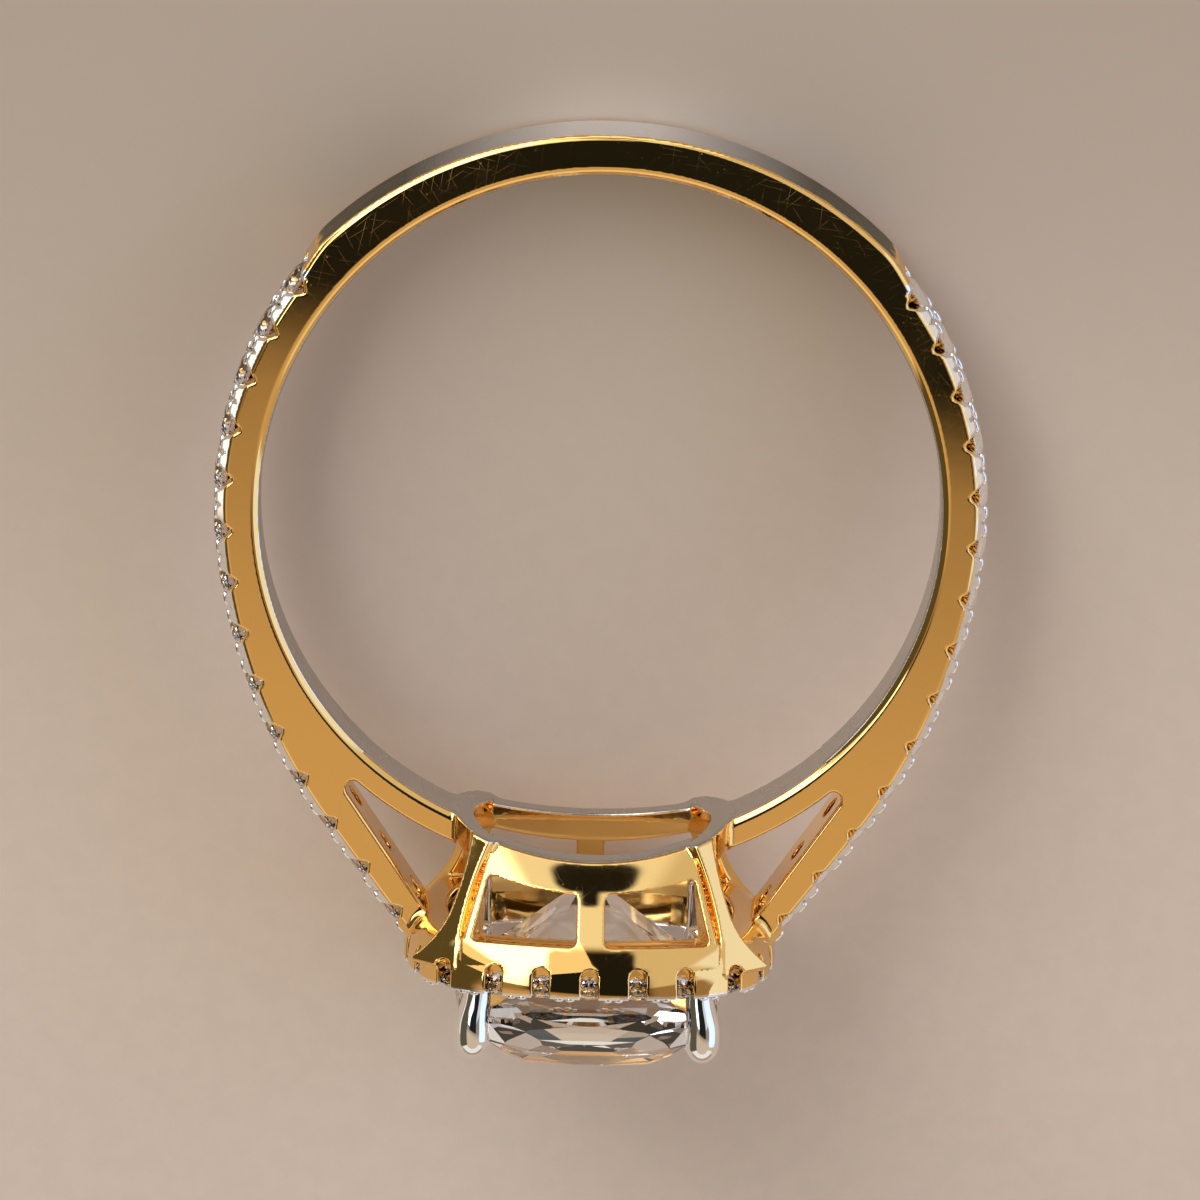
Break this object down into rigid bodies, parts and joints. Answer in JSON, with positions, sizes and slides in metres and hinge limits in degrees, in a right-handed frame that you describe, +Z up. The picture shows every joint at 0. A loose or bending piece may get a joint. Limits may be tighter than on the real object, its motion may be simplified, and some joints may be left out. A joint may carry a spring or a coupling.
{
  "type": "halo ring with stone-set split shoulders",
  "caption": "Finger ring with a raised cushion-shaped stone on four claws, a square halo of small stones, an open basket and stone-set split shoulders.",
  "frame": {"origin": "middle of the bounding box, at the surface the ring rests on", "axes": "+X across the finger, towards the right of the picture; +Y towards the middle of the plain band, away from the stone; +Z up, close to the finger axis, which leans 9.9 degrees from it towards +Y"},
  "size_m": [0.0196, 0.0242, 0.0094],
  "materials": {
    "gold": "polished yellow gold, paler at the beads and claws",
    "centre_stone": "clear cut stone",
    "small_stones": "clear cut stones"
  },
  "bodies": {
    "root": {"ring_setting": "gold", "centre_stone": "centre_stone", "halo_stones": "small_stones", "shoulder_stones_left": "small_stones", "shoulder_stones_right": "small_stones"}
  },
  "joints": []
}
